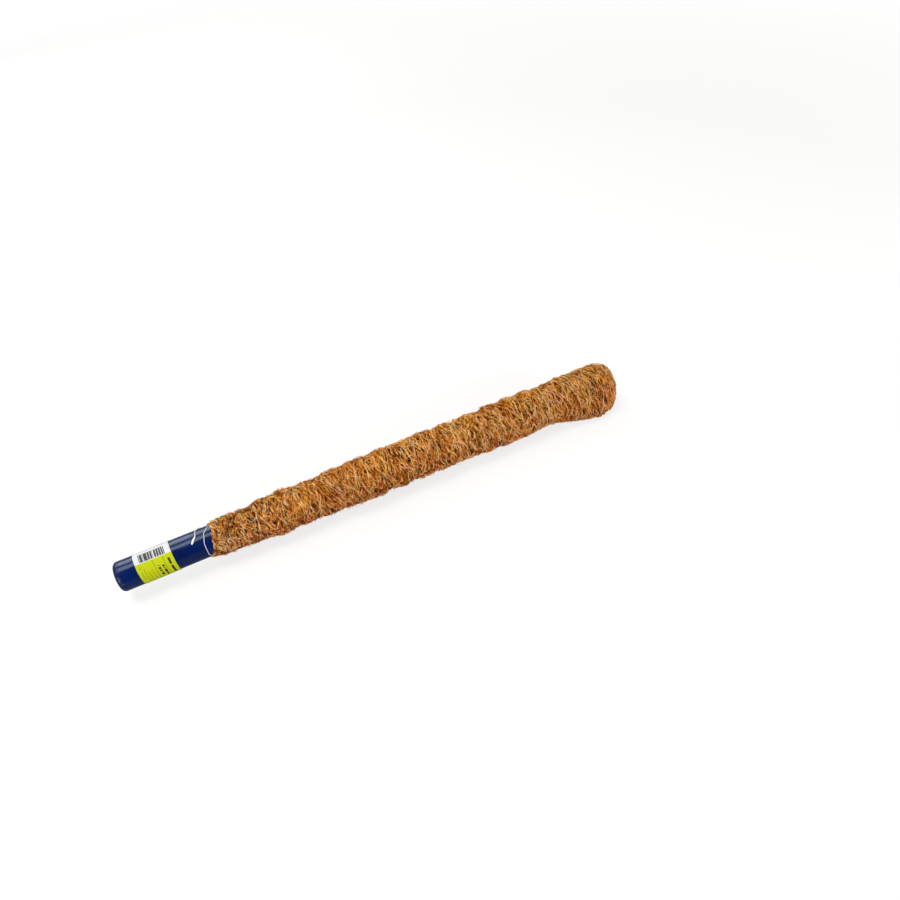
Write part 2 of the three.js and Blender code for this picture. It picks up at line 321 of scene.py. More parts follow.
# Paper label round the stub
labelMake = {
    "wrap": 60 * mm, "wrapOut": 0.5 * mm, "middle": 0.15, "lift": 0.25 * mm, "thickness": 0.2 * mm,
    "skew": 2.7 * mm, "corner": 1 * mm, "curlAcross": 0.3, "curlAround": 0.44, "cornerLift": 0.35 * mm,
    "cockle": 0.05 * mm, "cocklesAcross": 9, "cocklesAround": 12, "acrossSteps": 30, "roundSteps": 56,
    "yellow": "#BFC808", "yellowWorn": "#B8BD38", "white": "#DCDCDD", "ink": "#1C1D1A",
    "stripFrom": 0.558, "bareStripes": 0.22, "bareBreaks": 0.25, "rub": 6 * mm, "paperGrain": 0.5 * mm,
}
bm = bmesh.new()
bmesh.ops.create_grid(bm, x_segments=labelMake["acrossSteps"], y_segments=labelMake["roundSteps"], size=0.5,
                      calc_uvs=False)
printMap = bm.loops.layers.uv.new("labelPrint")
for face in bm.faces:
    for loop in face.loops:
        loop[printMap].uv = (loop.vert.co.x + 0.5, loop.vert.co.y + 0.5)
labelWidth = labelHigh.x - labelLow.x
labelTurns = labelMake["wrap"] / (2 * math.pi * (pipeRadius + labelMake["wrapOut"]))
for vert in bm.verts:
    across, around = vert.co.x, vert.co.y
    fromEnd = (0.5 - abs(around)) * labelMake["wrap"]
    inset = max(0, labelMake["corner"] - fromEnd)
    inset = labelMake["corner"] - math.sqrt(max(0, labelMake["corner"] ** 2 - inset ** 2))
    x = (labelLow.x + labelHigh.x) / 2 + across * (labelWidth - 2 * inset) - around * labelMake["skew"]
    curl = max(0, abs(around) - labelMake["curlAround"]) / (0.5 - labelMake["curlAround"])
    curl *= max(0, abs(across) - labelMake["curlAcross"]) / (0.5 - labelMake["curlAcross"])
    lift = labelMake["lift"] + labelMake["cornerLift"] * curl ** 2
    spot = Vector((across * labelMake["cocklesAcross"], around * labelMake["cocklesAround"], 3))
    lift += labelMake["cockle"] * noise.noise(spot)
    vert.co = onPole(x, pipeRadius + lift, labelMake["middle"] + around * labelTurns)
bmesh.ops.recalc_face_normals(bm, faces=bm.faces)
firstFace = next(iter(bm.faces))
faceMiddle = firstFace.calc_center_median()
if firstFace.normal.dot(faceMiddle - Vector((faceMiddle.x, 0, axisHeight))) < 0:
    bmesh.ops.reverse_faces(bm, faces=bm.faces)
label = placePiece("paperLabel", bm, 60)
sheet = label.modifiers.new("paper", "SOLIDIFY")
sheet.thickness, sheet.offset = labelMake["thickness"], 1

paper, tree, shader = newMaterial("Coated label paper")  # bright flat print, slight gloss, rubbed in places
sheetMap = addNode(tree, "ShaderNodeUVMap", {"uv_map": "labelPrint"})
parts = addNode(tree, "ShaderNodeSeparateXYZ", {}, {"Vector": sheetMap.outputs[0]})
alongU, aroundV = parts.outputs["X"], parts.outputs["Y"]
strip = addNode(tree, "ShaderNodeMath", {"operation": "GREATER_THAN"}, {0: aroundV, 1: labelMake["stripFrom"]})
where = addNode(tree, "ShaderNodeTexCoord").outputs["Object"]
rub = addNode(tree, "ShaderNodeTexNoise", {},
              {"Vector": where, "Scale": 1 / labelMake["rub"], "Detail": 6, "Roughness": 0.7})
faded = addNode(tree, "ShaderNodeMapRange", {},
                {"Value": rub.outputs["Fac"], "From Min": 0.5, "From Max": 0.8, "To Max": 0.6})
yellow = addNode(tree, "ShaderNodeMix", {"data_type": "RGBA"},
                 {0: faded.outputs[0], 6: linear(labelMake["yellow"]), 7: linear(labelMake["yellowWorn"])})
panels = addNode(tree, "ShaderNodeMix", {"data_type": "RGBA"},
                 {0: strip.outputs[0], 6: yellow.outputs[2], 7: linear(labelMake["white"])})
printed = panels.outputs[2]
# Plain marks, each (u from, u to, v from, v to, stripes across u, breaks along v, darkness)
marks = [
    (0.14, 0.86, 0.568, 0.735, 54, 0, 0.95),
    (0.1, 0.92, 0.79, 0.8, 0, 0, 0.35),
    (0.16, 0.84, 0.84, 0.85, 0, 0, 0.3),
    (0.455, 0.465, 0.02, 0.545, 0, 0, 0.8),
    (0.735, 0.745, 0.02, 0.545, 0, 0, 0.8),
    (0.53, 0.59, 0.18, 0.42, 0, 17, 0.95),
    (0.64, 0.70, 0.14, 0.40, 0, 15, 0.95),
    (0.84, 0.90, 0.12, 0.48, 0, 13, 0.95),
    (0.08, 0.10, 0.24, 0.52, 0, 26, 0.55),
    (0.17, 0.19, 0.16, 0.44, 0, 24, 0.55),
    (0.26, 0.28, 0.14, 0.42, 0, 28, 0.55),
    (0.35, 0.37, 0.12, 0.40, 0, 22, 0.55),
]
for uFrom, uTo, vFrom, vTo, stripes, breaks, darkness in marks:
    share = darkness
    for value, low, high, cells, bare in ((alongU, uFrom, uTo, stripes, labelMake["bareStripes"]),
                                          (aroundV, vFrom, vTo, breaks, labelMake["bareBreaks"])):
        tests = [("GREATER_THAN", value, low), ("LESS_THAN", value, high)]
        if cells:
            counted = addNode(tree, "ShaderNodeMath", {"operation": "MULTIPLY"},
                              {0: value, 1: cells / (high - low)})
            cell = addNode(tree, "ShaderNodeMath", {"operation": "FLOOR"}, {0: counted.outputs[0]})
            odds = addNode(tree, "ShaderNodeTexWhiteNoise", {"noise_dimensions": "1D"}, {"W": cell.outputs[0]})
            tests.append(("GREATER_THAN", odds.outputs["Value"], bare))
        for operation, tested, level in tests:
            inked = addNode(tree, "ShaderNodeMath", {"operation": operation}, {0: tested, 1: level})
            share = addNode(tree, "ShaderNodeMath", {"operation": "MULTIPLY"},
                            {0: inked.outputs[0], 1: share}).outputs[0]
    printed = addNode(tree, "ShaderNodeMix", {"data_type": "RGBA"},
                      {0: share, 6: printed, 7: linear(labelMake["ink"])}).outputs[2]
tree.links.new(printed, shader.inputs["Base Color"])
gloss = addNode(tree, "ShaderNodeMapRange", {}, {"Value": rub.outputs["Fac"], "To Min": 0.3, "To Max": 0.55})
tree.links.new(gloss.outputs[0], shader.inputs["Roughness"])
grain = addNode(tree, "ShaderNodeTexNoise", {},
                {"Vector": where, "Scale": 1 / labelMake["paperGrain"], "Detail": 3})
tooth = addNode(tree, "ShaderNodeBump", {},
                {"Height": grain.outputs["Fac"], "Strength": 0.1, "Distance": 0.05 * mm})
tree.links.new(tooth.outputs[0], shader.inputs["Normal"])
shader.inputs["Specular IOR Level"].default_value = 0.2
dressPiece(label, paper, "pipe_label")
print("label made")

# Coir: the sleeve's outer surface, the same forms as its CAD solid plus lumps of fibre
coirMake = {
    "thickness": [(0, 1.5), (12, 2.8), (34, 4.6), (76, 7.9), (102, 6.7), (180, 9.5)],  # mm from the lower edge
    "lipThickness": 0.4, "lipTaper": 0.5,
    "edgeShift": -2.5 * mm, "edgeSlant": 5.5 * mm, "slantTurn": 0.25, "slantRun": 60 * mm,
    "edgeRag": 1.6 * mm, "edgeWaves": 5,
    "groove": 2.3 * mm, "bodyFrom": 12 * mm, "pitch": 28 * mm, "neckRun": 12.5 * mm, "woundTurns": 4 / 24 + 3.25,
    "wander": 0.12, "wanderSize": 45 * mm, "pull": 0.62, "pullChange": 0.7, "pullSize": 32 * mm,
    "flare": 13 * mm, "flareRun": 95 * mm, "flareSide": (-0.3, 0.6), "mouth": 1.5 * mm,
    "endRounding": 20 * mm, "frontRounding": 16 * mm,
    "lump": 0.6 * mm, "lumpSize": 17 * mm, "tuft": 0.8 * mm, "tuftSize": 5 * mm, "inset": 0.8 * mm,
    "fullFrom": 1 * mm, "fullTo": 5 * mm,
    "sag": 0.7 * mm, "sagTurn": -0.11, "farSag": 1.9 * mm, "farBack": 0.5, "farFrom": 80 * mm, "farTo": 140 * mm,
    "floorGap": 0.6 * mm, "pipeGap": 0.3 * mm,
}
bodyStart = coirLow.x + coirMake["bodyFrom"]
neckEnd = poleEnd - coirMake["flareRun"]
neckStart = neckEnd - coirMake["neckRun"]


def edgePlace(turn):  # x of the sleeve's lower edge, cut on a slant and ragged
    angle = turn * 2 * math.pi
    waves = coirMake["edgeWaves"]
    rag = noise.noise(Vector((math.cos(angle) * waves, math.sin(angle) * waves, 4))) * coirMake["edgeRag"]
    slant = coirMake["edgeSlant"] * math.cos(angle - coirMake["slantTurn"] * 2 * math.pi)
    return coirLow.x + coirMake["edgeShift"] + slant + rag


def lowFront(turn):  # 1 on the low front, where the coir hangs fuller, and -1 behind
    return math.cos((turn - coirMake["sagTurn"]) * 2 * math.pi)


def coirRadius(x, turn):  # the wrap's own form
    slant = (edgePlace(turn) - coirLow.x) * (1 - smooth(x - coirLow.x, 0, coirMake["slantRun"]))
    along = (x - coirLow.x - slant) / mm
    stations = coirMake["thickness"]
    thickness = stations[-1][1]
    if along <= 0:
        thickness = max(coirMake["lipThickness"], stations[0][1] + coirMake["lipTaper"] * along)
    for (low, thin), (high, thick) in zip(stations, stations[1:]):
        if low <= along <= high:
            thickness = thin + (thick - thin) * smooth(along, low, high)
    flare = coirMake["flare"] * smooth(x, neckEnd, poleEnd - coirMake["endRounding"])
    flare *= smooth(-math.sin(turn * 2 * math.pi), *coirMake["flareSide"])
    spot = onPole(x, pipeRadius, turn)  # the real turns wander, and draw the coir in by more and less
    drift = coirMake["wander"] * noise.noise(spot / coirMake["wanderSize"] + Vector((0, 5, 0)))
    tightness = noise.noise(spot / coirMake["pullSize"] + Vector((9, 0, 0)))
    pull = coirMake["pull"] + coirMake["pullChange"] * tightness
    wound = coirMake["woundTurns"] + (x - bodyStart) / coirMake["pitch"] + drift
    wave = (1 + math.cos((wound - turn) * 2 * math.pi)) / 2 * min(1, max(0, pull))
    band = 1 - smooth(x, neckEnd, neckEnd + coirMake["pitch"])
    groove = coirMake["groove"] * smooth(x, bodyStart, bodyStart + coirMake["pitch"])
    groove *= wave if x < neckStart else band
    front = max(0, lowFront(turn))  # the low front of the end is worn rounder
    rounded = min(1, max(0, (x - poleEnd) / (coirMake["endRounding"] + coirMake["frontRounding"] * front) + 1))
    mouth = pipeRadius + coirMake["mouth"]
    return mouth + (pipeRadius + thickness * mm + flare - groove - mouth) * math.sqrt(1 - rounded ** 2)


def coirSurface(x, turn):  # with its lumps, tufts and sag
    radius = coirRadius(x, turn)
    spot = onPole(x, radius, turn)
    full = smooth(radius - pipeRadius, coirMake["fullFrom"], coirMake["fullTo"])
    lump = coirMake["lump"] * noise.noise(spot / coirMake["lumpSize"]) * 2
    tuft = coirMake["tuft"] * noise.noise(spot / coirMake["tuftSize"] + Vector((7, 0, 0))) * 2
    side = lowFront(turn)
    far = smooth(x, coirMake["farFrom"], coirMake["farTo"])
    sag = coirMake["sag"] * side + coirMake["farSag"] * far * max(side, -coirMake["farBack"] * side)
    return radius + (lump + tuft + sag - coirMake["inset"]) * full


def offFloor(point, gap):
    point.z = max(point.z, gap)
    return point


battMake = {
    "sides": 96, "rings": 170, "under": 2.6 * mm, "pit": 0.9 * mm, "pitSize": 4 * mm, "startInset": 1 * mm,
    "endInset": 1.5 * mm, "capDepth": 4 * mm, "capInset": 1 * mm, "dark": "#1C0A02", "brown": "#5A2C0C",
    "pipeSeen": "#0C1A44", "grain": 1.5 * mm, "thinSize": 16 * mm, "thinFrom": -0.15, "thinTo": -0.11,
}
bm = bmesh.new()
bmesh.ops.create_cone(bm, cap_ends=True, segments=battMake["sides"], radius1=1, radius2=1, depth=1)
longEdges = [e for e in bm.edges if abs(e.verts[0].co.z - e.verts[1].co.z) > 0.5]
bmesh.ops.subdivide_edges(bm, edges=longEdges, cuts=battMake["rings"])
topCap = max(bm.faces, key=lambda face: face.calc_center_median().z)
# The cap is pushed down inside the wad, so the mouth is open
sunkVerts = set(bmesh.ops.extrude_discrete_faces(bm, faces=[topCap])["faces"][0].verts)
for vert in bm.verts:
    turn = math.atan2(vert.co.y, vert.co.x) / (2 * math.pi)
    if vert in sunkVerts:
        vert.co = onPole(wadLow.x + battMake["capDepth"], pipeRadius - battMake["capInset"], turn)
        continue
    start = edgePlace(turn) + battMake["startInset"]
    x = start + (vert.co.z + 0.5) * (poleEnd - battMake["endInset"] - start)
    radius = coirSurface(x, turn)
    spot = onPole(x, radius, turn)
    pit = battMake["pit"] * max(0, noise.noise(spot / battMake["pitSize"]) * 2)
    radius = max(pipeRadius + coirMake["pipeGap"], radius - battMake["under"] - pit)
    vert.co = offFloor(onPole(x, radius, turn), 2 * coirMake["floorGap"])
bmesh.ops.recalc_face_normals(bm, faces=bm.faces)
batt = placePiece("coirBatt", bm, 60)

packedCoirPaintedGapShade, tree, shader = newMaterial("Packed coir dust and short fibre")  # matt dark brown: the packed coir's own colour, and painted shade in the gaps between fibres
where = addNode(tree, "ShaderNodeTexCoord").outputs["Object"]
grain = addNode(tree, "ShaderNodeTexNoise", {},
                {"Vector": where, "Scale": 1 / battMake["grain"], "Detail": 5, "Roughness": 0.7})
brown = addNode(tree, "ShaderNodeValToRGB", {"stops": [(0.38, battMake["dark"]), (0.68, battMake["brown"])]},
                {"Fac": grain.outputs["Fac"]})
# Thin spots near the lower edge let the navy pipe show
thin = addNode(tree, "ShaderNodeTexNoise", {}, {"Vector": where, "Scale": 1 / battMake["thinSize"], "Detail": 2})
thinSpots = addNode(tree, "ShaderNodeMapRange", {},
                    {"Value": thin.outputs["Fac"], "From Min": 0.52, "From Max": 0.6})
lowParts = addNode(tree, "ShaderNodeSeparateXYZ", {}, {"Vector": where})
lowEnd = addNode(tree, "ShaderNodeMapRange", {}, {
    "Value": lowParts.outputs["X"], "From Min": battMake["thinTo"], "From Max": battMake["thinFrom"]})
shows = addNode(tree, "ShaderNodeMath", {"operation": "MULTIPLY"},
                {0: thinSpots.outputs[0], 1: lowEnd.outputs[0]})
colour = addNode(tree, "ShaderNodeMix", {"data_type": "RGBA"},
                 {0: shows.outputs[0], 6: brown.outputs["Color"], 7: linear(battMake["pipeSeen"])})
tree.links.new(colour.outputs[2], shader.inputs["Base Color"])
rough = addNode(tree, "ShaderNodeBump", {},
                {"Height": grain.outputs["Fac"], "Strength": 0.6, "Distance": 0.6 * mm})
tree.links.new(rough.outputs[0], shader.inputs["Normal"])
shader.inputs["Roughness"].default_value = 0.95
shader.inputs["Specular IOR Level"].default_value = 0.03
dressPiece(batt, packedCoirPaintedGapShade, "coir_sleeve")

# Coir fibre: its shade is drawn from the piece's own map, u the fibre's tint, v its hue and the place along it
fibreMake = {
    "hueFrom": (0.02, 0.35, 0.68), "hueEdges": (0.33, 0.66), "hueRun": 0.28,  # golden, russet and worn in v
    "tintFrom": 0.01, "tintRun": 0.97, "sideShift": 0.003,  # the tint and a little for each side in u
    # paintedDepthShade: the deeper a fibre lies, the darker its tint, a painted shade for its depth in the
    # sleeve
    "taper": 0.75, "paintedDepthShade": 0.25, "room": 6 * mm, "endGap": 0.6 * mm, "swayStep": 0.7,
    "lean": -8, "clump": 22, "straySpread": 55,  # degrees
    "clumpSize": 26 * mm, "clumpRadius": 25 * mm, "atEnd": 0.06,
    "lowShade": 0.1, "lowFrom": 35 * mm, "lowTo": 110 * mm, "topShade": 0.05, "topRun": 40 * mm,
    "worn": 0.03, "wornLow": 0.24, "wornFrom": 25 * mm, "wornTo": 110 * mm,
    # paintedTopLight: the russet share goes down on the lit top and up on the underside, painted light and shade
    "wornTop": 0.18, "wornBefore": 20 * mm, "wornAfter": 30 * mm, "paintedTopLight": 0.85,
}
fibreColours = {
    "golden": [(0.0, "#340D00"), (0.25, "#9C4C0A"), (0.5, "#EA9432"), (0.75, "#FBBB5A"), (1.0, "#FFD68A")],
    "russet": [(0.0, "#300800"), (0.25, "#92360C"), (0.5, "#E27536"), (0.75, "#F6A06A"), (1.0, "#FFC8A0")],
    "worn": [(0.0, "#2A1204"), (0.25, "#785028"), (0.5, "#C29A60"), (0.75, "#DEBC88"), (1.0, "#F2DEB8")],
}
coirFibre, tree, shader = newMaterial("Coir fibre")  # dry husk fibre, straw to red brown, a dull shine
fibreMap = addNode(tree, "ShaderNodeUVMap", {"uv_map": "OFBake"})
parts = addNode(tree, "ShaderNodeSeparateXYZ", {}, {"Vector": fibreMap.outputs[0]})
golden, russet, worn = [
    addNode(tree, "ShaderNodeValToRGB", {"stops": fibreColours[hue]}, {"Fac": parts.outputs["X"]})
    for hue in ("golden", "russet", "worn")]
isRusset, isWorn = [
    addNode(tree, "ShaderNodeMath", {"operation": "GREATER_THAN"}, {0: parts.outputs["Y"], 1: level})
    for level in fibreMake["hueEdges"]]
fresh = addNode(tree, "ShaderNodeMix", {"data_type": "RGBA"},
                {0: isRusset.outputs[0], 6: golden.outputs["Color"], 7: russet.outputs["Color"]})
colour = addNode(tree, "ShaderNodeMix", {"data_type": "RGBA"},
                 {0: isWorn.outputs[0], 6: fresh.outputs[2], 7: worn.outputs["Color"]})
tree.links.new(colour.outputs[2], shader.inputs["Base Color"])
shader.inputs["Roughness"].default_value = 0.7
shader.inputs["Specular IOR Level"].default_value = 0.04


def fibrePiece(name, fibres, node):  # fibres: (points, radii, tint, hue), all with the same number of points
    mesh = strandMesh(name, fibres)
    for layer in list(mesh.uv_layers):
        mesh.uv_layers.remove(layer)
    count = len(fibres[0][0])
    sides = len(mesh.vertices) // (len(fibres) * count)
    corner = np.zeros(len(mesh.loops), dtype=np.int32)
    mesh.loops.foreach_get("vertex_index", corner)
    fibre, inFibre = np.divmod(corner, count * sides)
    ring, side = np.divmod(inFibre, sides)
    tints = np.array([tint for points, radii, tint, hue in fibres])
    hues = np.array([fibreMake["hueFrom"][hue] for points, radii, tint, hue in fibres])
    flat = np.empty((len(corner), 2), dtype=np.float32)
    flat[:, 0] = fibreMake["tintFrom"] + fibreMake["tintRun"] * tints[fibre] + fibreMake["sideShift"] * side
    flat[:, 1] = hues[fibre] + fibreMake["hueRun"] * ring / (count - 1)
    mesh.uv_layers.new(name="OFBake").data.foreach_set("uv", flat.ravel())
    piece = bpy.data.objects.new(name, mesh)
    scene.collection.objects.link(piece)
    dressPiece(piece, coirFibre, node)
    print(name, len(fibres), "fibres,", len(mesh.polygons), "faces,", sides, "sides")


def fibreCourse(x, turn, heading, length, depth, layer):  # a wandering path on the sleeve, ends tucked in
    points = []
    step = length / (layer["points"] - 1)
    phase = dice.uniform(0, 100)
    for i in range(layer["points"]):
        share = 2 * i / (layer["points"] - 1) - 1
        x = min(max(x, edgePlace(turn) - layer["reach"] * mm), poleEnd - fibreMake["endGap"])
        room = min(1, (coirRadius(x, turn) - pipeRadius) / fibreMake["room"])
        sway = layer["sway"] * mm * noise.noise(Vector((phase + fibreMake["swayStep"] * i, 0, 0)))
        radius = coirSurface(x, turn) + room * (depth + sway - layer["tuck"] * mm * share ** 4)
        radius = max(radius, pipeRadius + coirMake["pipeGap"])
        points.append(offFloor(onPole(x, radius, turn), coirMake["floorGap"] + max(0, -depth)))
        heading += dice.gauss(0, layer["bend"])
        x += math.sin(heading) * step
        turn += math.cos(heading) * step / (2 * math.pi * radius)
    return points


def fibreHeading(x, turn, layer):  # fibres go round the pole, leaning in clumps, with some strays across them
    spot = onPole(x, fibreMake["clumpRadius"], turn) / fibreMake["clumpSize"]
    spread = fibreMake["straySpread"] if dice.random() < layer["stray"] else layer["spread"]
    clump = layer.get("clump", fibreMake["clump"]) * noise.noise(spot + Vector((0, 0, 11)))
    return math.radians(fibreMake["lean"] + clump + dice.gauss(0, spread))


def fibreStart(turn, span=(0, 1)):  # even along its span of the sleeve, closer where the sleeve rounds over
    start = edgePlace(turn)
    if span[1] == 1 and dice.random() < fibreMake["atEnd"]:
        return poleEnd - coirMake["endRounding"] * (1 - math.sin(dice.random() * math.pi / 2))
    return start + (poleEnd - start) * dice.uniform(*span)


def endShade(x):  # fibres drawn darker near the lower edge, and a little darker at the top end
    low = 1 - smooth(x - coirLow.x, fibreMake["lowFrom"], fibreMake["lowTo"])
    top = smooth(x, neckEnd, neckEnd + fibreMake["topRun"])
    return fibreMake["lowShade"] * low + fibreMake["topShade"] * top


def fibreHue(x, turn, russet):  # 0 golden, 1 russet, 2 worn to a grey brown, as many near the lower edge are
    low = 1 - smooth(x - coirLow.x, fibreMake["wornFrom"], fibreMake["wornTo"])
    top = smooth(x, neckEnd - fibreMake["wornBefore"], neckEnd + fibreMake["wornAfter"])
    upper = max(0, math.sin(turn * 2 * math.pi))
    worn = fibreMake["worn"] + fibreMake["wornLow"] * low + fibreMake["wornTop"] * top * upper
    return 2 if dice.random() < worn else int(dice.random() < russet)


# Layers of fibre: lengths in mm, spread and clump in degrees, bend in radians at each point
# Fibres are drawn up to twice their real thickness, because finer ones don't show
fibreLayers = [
    # The under layer is drawn in dark tints, painted shade deep in the sleeve
    {"name": "coirUnder", "pieces": 1, "count": 4800, "points": 5, "length": (10, 22), "depth": (-3.0, -1.7),
     "tuck": 0.4, "sway": 1.0, "reach": -0.5, "spread": 22, "stray": 0.3, "bend": 0.16, "radius": (0.34, 0.5),
     "tints": [(0.12, 0.08)], "russet": 0.5},
    {"name": "coirWrap", "pieces": 2, "count": 12000, "points": 5, "length": (6, 18), "depth": (-1.7, 0.1),
     "tuck": 0.9, "sway": 1.8, "reach": 0.5, "spread": 15, "stray": 0.22, "bend": 0.15, "radius": (0.28, 0.44),
     "tints": [(0.1, 0.07), (0.48, 0.1), (0.56, 0.12), (0.74, 0.1)], "russet": 0.46},
    {"name": "coirStrand", "pieces": 1, "count": 6000, "points": 5, "length": (5, 16), "depth": (-0.5, 0.6),
     "tuck": 1.2, "sway": 1.8, "reach": 2.0, "spread": 17, "stray": 0.28, "bend": 0.15, "radius": (0.34, 0.48),
     "tints": [(0.08, 0.07), (0.64, 0.12), (0.92, 0.08)], "russet": 0.3},
    {"name": "coirLong", "pieces": 1, "count": 260, "points": 14, "length": (34, 80), "depth": (0.0, 0.8),
     "tuck": 1.0, "sway": 1.4, "reach": 1.0, "spread": 12, "stray": 0.2, "bend": 0.07, "radius": (0.22, 0.34),
     "tints": [(0.72, 0.1), (0.92, 0.08)], "russet": 0.2},
    {"name": "coirArc", "pieces": 1, "count": 40, "points": 18, "length": (40, 90), "depth": (0.3, 1.0),
     "tuck": 0.8, "sway": 0.6, "reach": 0, "spread": 4, "stray": 0, "clump": 4, "bend": 0.03,
     "radius": (0.24, 0.34), "span": (0.8, 0.985), "tints": [(0.7, 0.08), (0.95, 0.05)], "russet": 0.2},
    {"name": "coirEdge", "pieces": 1, "count": 520, "points": 5, "length": (5, 15), "depth": (0.0, 2.4),
     "tuck": 1.0, "sway": 2.0, "reach": 1.5, "spread": 40, "stray": 0.6, "bend": 0.25, "radius": (0.22, 0.36),
     "span": (0, 0.035), "tints": [(0.15, 0.08), (0.55, 0.12), (1.0, 0.06)], "russet": 0.35},
    # Pale fibres round the end's rim, a painted highlight along the end's silhouette
    {"name": "coirRimPaintedHighlight", "pieces": 1, "count": 16, "points": 18, "length": (40, 80), "depth": (0.3, 0.9),
     "tuck": 0.8, "sway": 0.4, "reach": 0, "spread": 3, "stray": 0, "clump": 2, "bend": 0.02,
     "radius": (0.24, 0.34), "span": (0.982, 0.994), "tints": [(0.75, 0.08), (0.98, 0.04)], "russet": 0.15},
    {"name": "coirLow", "pieces": 1, "count": 1500, "points": 5, "length": (5, 16), "depth": (-0.8, 0.3),
     "tuck": 0.8, "sway": 1.6, "reach": 0.5, "spread": 24, "stray": 0.4, "bend": 0.16, "radius": (0.28, 0.44),
     "span": (0.01, 0.2), "tints": [(0.1, 0.07), (0.36, 0.1), (0.5, 0.12), (0.95, 0.05)], "russet": 0.36},
    {"name": "coirTop", "pieces": 1, "count": 900, "points": 5, "length": (6, 18), "depth": (-0.9, 0.4),
     "tuck": 0.8, "sway": 1.0, "reach": 0, "spread": 12, "stray": 0.12, "bend": 0.12, "radius": (0.24, 0.38),
     "span": (0.86, 0.99), "tints": [(0.12, 0.07), (0.46, 0.1), (0.56, 0.12), (0.85, 0.08)], "russet": 0.36},
]
for layer in fibreLayers:
    fibres = []
    for i in range(layer["count"]):
        turn = dice.random()
        x = fibreStart(turn, layer.get("span", (0, 1)))
        share = dice.random()
        depth = (layer["depth"][0] + (layer["depth"][1] - layer["depth"][0]) * share) * mm
        length = dice.uniform(*layer["length"]) * mm
        points = fibreCourse(x, turn, fibreHeading(x, turn, layer), length, depth, layer)
        thick = dice.uniform(*layer["radius"]) * mm
        radii = [thick * (1 - fibreMake["taper"] * abs(2 * j / (layer["points"] - 1) - 1) ** 3)
                 for j in range(layer["points"])]
        # deeper fibres get a darker tint, a painted shade
        tint = dice.gauss(*dice.choice(layer["tints"])) + fibreMake["paintedDepthShade"] * (share - 0.5) - endShade(x)
        paintedLightRusset = 1 - fibreMake["paintedTopLight"] * math.sin(turn * 2 * math.pi)  # painted light: fewer russet fibres on the lit top, more on the shaded underside
        fibres.append((points, radii, min(1, max(0, tint)), fibreHue(x, turn, layer["russet"] * paintedLightRusset)))
    fibres.sort(key=lambda fibre: fibre[0][0].x)  # by the place of their first points
    size = math.ceil(len(fibres) / layer["pieces"])
    for part in range(layer["pieces"]):
        fibrePiece(layer["name"] + str(part + 1), fibres[part * size:(part + 1) * size], "coir_sleeve")

# Tufts and single hairs that stand off the sleeve: plain lengths in mm, fan and bend in radians
fuzzMake = {
    "pieces": 2, "tufts": 1700, "inTuft": 5, "hairs": 150, "points": 5, "length": (3, 8), "stand": (0.8, 3.8),
    "hairLength": (8, 18), "hairStand": (2, 6), "radius": (0.26, 0.42), "hairThin": 0.7, "taper": 0.6,
    "rootTurn": 0.006, "rootAlong": 0.9, "fan": 0.4, "bend": 0.25, "rooted": 0.6 * mm, "rise": 1.3,
    "shortest": 0.5, "reach": 2 * mm, "endGap": 0.4 * mm, "tint": (0.34, 0.2), "russet": 0.4,
}
fuzz = []
for i in range(fuzzMake["tufts"] + fuzzMake["hairs"]):
    tuft = i < fuzzMake["tufts"]
    rootTurn = dice.random()
    rootX = fibreStart(rootTurn)
    lean = math.radians(dice.uniform(0, 360))
    stand = dice.uniform(*fuzzMake["stand" if tuft else "hairStand"]) * mm
    for k in range(fuzzMake["inTuft"] if tuft else 1):
        turn = rootTurn + dice.gauss(0, fuzzMake["rootTurn"])
        x = rootX + dice.gauss(0, fuzzMake["rootAlong"]) * mm
        heading = lean + dice.gauss(0, fuzzMake["fan"])
        length = dice.uniform(*fuzzMake["length" if tuft else "hairLength"]) * mm
        tall = stand * dice.uniform(fuzzMake["shortest"], 1)
        points = []
        for j in range(fuzzMake["points"]):
            share = j / (fuzzMake["points"] - 1)
            x = min(max(x, edgePlace(turn) - fuzzMake["reach"]), poleEnd - fuzzMake["endGap"])
            radius = coirSurface(x, turn) - fuzzMake["rooted"] + tall * share ** fuzzMake["rise"]
            radius = max(radius, pipeRadius + coirMake["pipeGap"])
            points.append(offFloor(onPole(x, radius, turn), coirMake["floorGap"]))
            heading += dice.gauss(0, fuzzMake["bend"])
            x += math.sin(heading) * length / (fuzzMake["points"] - 1)
            turn += math.cos(heading) * length / (fuzzMake["points"] - 1) / (2 * math.pi * radius)
        thick = dice.uniform(*fuzzMake["radius"]) * mm * (1 if tuft else fuzzMake["hairThin"])
        radii = [thick * (1 - fuzzMake["taper"] * j / (fuzzMake["points"] - 1))
                 for j in range(fuzzMake["points"])]
        tint = min(1, max(0, dice.gauss(*fuzzMake["tint"]) - endShade(rootX)))
        fuzz.append((points, radii, tint, fibreHue(rootX, rootTurn, fuzzMake["russet"])))
for part in range(fuzzMake["pieces"]):
    fibrePiece("coirFuzz" + str(part + 1), fuzz[part::fuzzMake["pieces"]], "coir_sleeve")
print("coir sleeve made")

# Wad of coir that closes the sleeve's mouth
wadMake = {
    "rings": 10, "sides": 64, "crown": 2 * mm, "under": 2.6 * mm, "inset": 0.4 * mm,
    "rim": 5.5 * mm, "rimFrom": 1.5 * mm, "rimDrop": 1.6 * mm,
    "lump": 1.1 * mm, "lumpSize": 6 * mm, "lumpTop": 0.2 * mm, "lumpGain": 1.6, "lumpSink": 0.5,
    "lumpWithin": 0.75,
    "count": 1500, "points": 7, "length": (6, 24), "radius": (0.26, 0.44), "taper": 0.7, "tuck": 1.2 * mm,
    "deep": 2.2 * mm, "shallow": 0.8, "shallowFrom": 0.8,
    "curled": 0.7, "curlSpread": 0.6, "wildSpread": 3, "bend": (0.08, 0.2), "russet": 0.4,
    "tints": [(0.1, 0.07), (0.45, 0.1), (0.56, 0.12), (0.8, 0.1)],
}
wadRadius = (wadHigh.y - wadLow.y) / 2
wadReach = wadRadius + wadMake["rim"]


